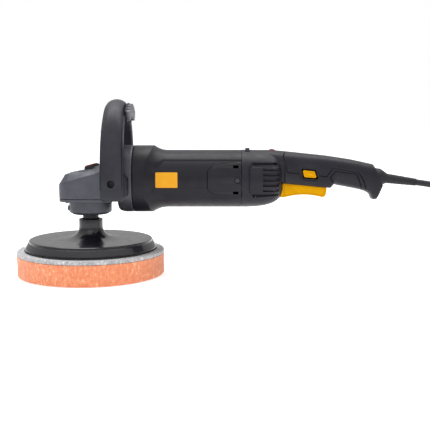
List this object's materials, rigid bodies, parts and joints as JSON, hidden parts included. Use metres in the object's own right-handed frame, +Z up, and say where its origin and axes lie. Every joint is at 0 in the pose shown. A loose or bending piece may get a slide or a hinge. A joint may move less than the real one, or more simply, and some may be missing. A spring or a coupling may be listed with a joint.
{
  "type": "rotary polisher",
  "caption": "Rotary polisher: foam pad on a backing plate under a gear head, D-shaped front handle, barrel motor housing and hooked rear handle with trigger and mains cord.",
  "frame": {"origin": "on the spindle's axis, at the working face of the pad that the tool stands on", "axes": "+Z up along the spindle, +X from the spindle back along the motor to the rear handle, +Y to the right side of the tool"},
  "size_m": [0.7105, 0.205, 0.2156],
  "materials": {
    "orange_foam": "open-cell polishing foam",
    "grey_foam": "fine grey interface foam",
    "hook_layer": "hook-and-loop fastening",
    "plate_plastic": "glossy moulded backing plate",
    "steel": "machined steel",
    "black_steel": "blackened screws",
    "core_steel": "laminated steel",
    "copper": "enamelled copper",
    "brass": "brass brush holders",
    "carbon": "carbon",
    "cast_grey": "satin grey painted casting",
    "flange_grey": "satin dark grey painted casting",
    "loop_plastic": "fine-textured glass-filled nylon",
    "motor_plastic": "fine-textured glass-filled nylon",
    "handle_plastic": "fine-textured nylon with soft overmould panels",
    "soft_rubber": "soft-touch rubber",
    "amber_label": "blank amber label",
    "yellow_plastic": "yellow moulded plastic",
    "red_plastic": "red moulded plastic",
    "red_lens": "translucent red lens",
    "cord_rubber": "rubber cord sheath",
    "plug_rubber": "moulded rubber plug with plated pins"
  },
  "bodies": {
    "tool_body": {"spindle_ball_bearing": "steel", "spindle_needle_bearing": "steel", "pinion_bearing_front": "steel", "pinion_bearing_rear": "steel", "motor_bearing_front": "steel", "motor_bearing_rear": "steel", "gear_housing": "cast_grey", "spindle_bearing_cover": "cast_grey", "cover_screw_1": "black_steel", "cover_screw_2": "black_steel", "cover_screw_3": "black_steel", "cover_screw_4": "black_steel", "gear_flange": "flange_grey", "d_handle_bolt_left": "black_steel", "d_handle_bolt_right": "black_steel", "motor_housing": "motor_plastic", "name_badge": "amber_label", "brush_cover_left": "motor_plastic", "brush_cover_right": "motor_plastic", "brush_cover_screw_left": "black_steel", "brush_cover_screw_right": "black_steel", "stator_core": "core_steel", "field_coil_lower": "copper", "field_coil_upper": "copper", "carbon_brush_left": "carbon", "carbon_brush_right": "carbon", "brush_holder_left": "brass", "brush_holder_right": "brass", "rear_bearing_plate": "motor_plastic", "rear_shell_left": "handle_plastic", "rear_shell_right": "handle_plastic", "shell_screw_1": "black_steel", "shell_screw_2": "black_steel", "trigger_pin": "steel", "switch_body": "motor_plastic", "control_module": "motor_plastic", "indicator_lens": "red_lens", "cord_guard": "soft_rubber", "cord_lead": "cord_rubber", "cord_coil": "cord_rubber", "cord_tail": "cord_rubber", "plug": "plug_rubber"},
    "spindle_body": {"foam_pad": "orange_foam", "pad_interface_layer": "grey_foam", "hook_and_loop_disc": "hook_layer", "backing_plate": "plate_plastic", "spindle": "steel", "crown_gear": "steel"},
    "pinion_body": {"bevel_pinion_shaft": "steel", "reduction_gear": "steel"},
    "armature_body": {"armature_shaft": "steel", "armature_core": "core_steel", "commutator": "copper", "cooling_fan": "motor_plastic"},
    "d_handle_body": {"d_handle": "loop_plastic", "d_handle_grip_insert": "soft_rubber"},
    "trigger_body": {"trigger": "yellow_plastic"},
    "lock_button_body": {"lock_button": "yellow_plastic"},
    "spindle_lock_body": {"spindle_lock_button": "red_plastic"},
    "speed_dial_body": {"speed_dial": "soft_rubber"}
  },
  "joints": [
    {"name": "spindle_spin", "type": "hinge", "parent": "tool_body", "child": "spindle_body", "pos_m": [0, 0, 0], "axis": [0, 0, 1], "continuous": true},
    {"name": "pinion_spin", "type": "hinge", "parent": "tool_body", "child": "pinion_body", "pos_m": [0.04, 0, 0.1064], "axis": [1, 0, 0], "continuous": true},
    {"name": "armature_spin", "type": "hinge", "parent": "tool_body", "child": "armature_body", "pos_m": [0.12, 0, 0.1184], "axis": [1, 0, 0], "continuous": true},
    {"name": "d_handle_tilt", "type": "hinge", "parent": "tool_body", "child": "d_handle_body", "pos_m": [0.0342, 0, 0.1163], "axis": [0, -1, 0], "range_deg": [0, 40]},
    {"name": "trigger_press", "type": "hinge", "parent": "tool_body", "child": "trigger_body", "pos_m": [0.2445, 0, 0.119], "axis": [0, -1, 0], "range_deg": [0, 7], "stiffness_Nm_per_rad": 2, "springref_deg": -5.73},
    {"name": "lock_button_press", "type": "slide", "parent": "tool_body", "child": "lock_button_body", "axis": [0, 1, 0], "range_m": [0, 0.0033], "stiffness_N_per_m": 800, "springref_m": -0.001},
    {"name": "spindle_lock_press", "type": "slide", "parent": "tool_body", "child": "spindle_lock_body", "axis": [0, 0, -1], "range_m": [0, 0.004], "stiffness_N_per_m": 1200, "springref_m": -0.002},
    {"name": "speed_dial_turn", "type": "hinge", "parent": "tool_body", "child": "speed_dial_body", "pos_m": [0.195, 0, 0.1466], "axis": [1, 0, 0], "range_deg": [-135, 135]}
  ],
  "couplings": [
    {"joint": "pinion_spin", "follows": "spindle_spin", "ratio": -3},
    {"joint": "armature_spin", "follows": "spindle_spin", "ratio": 8.25}
  ]
}
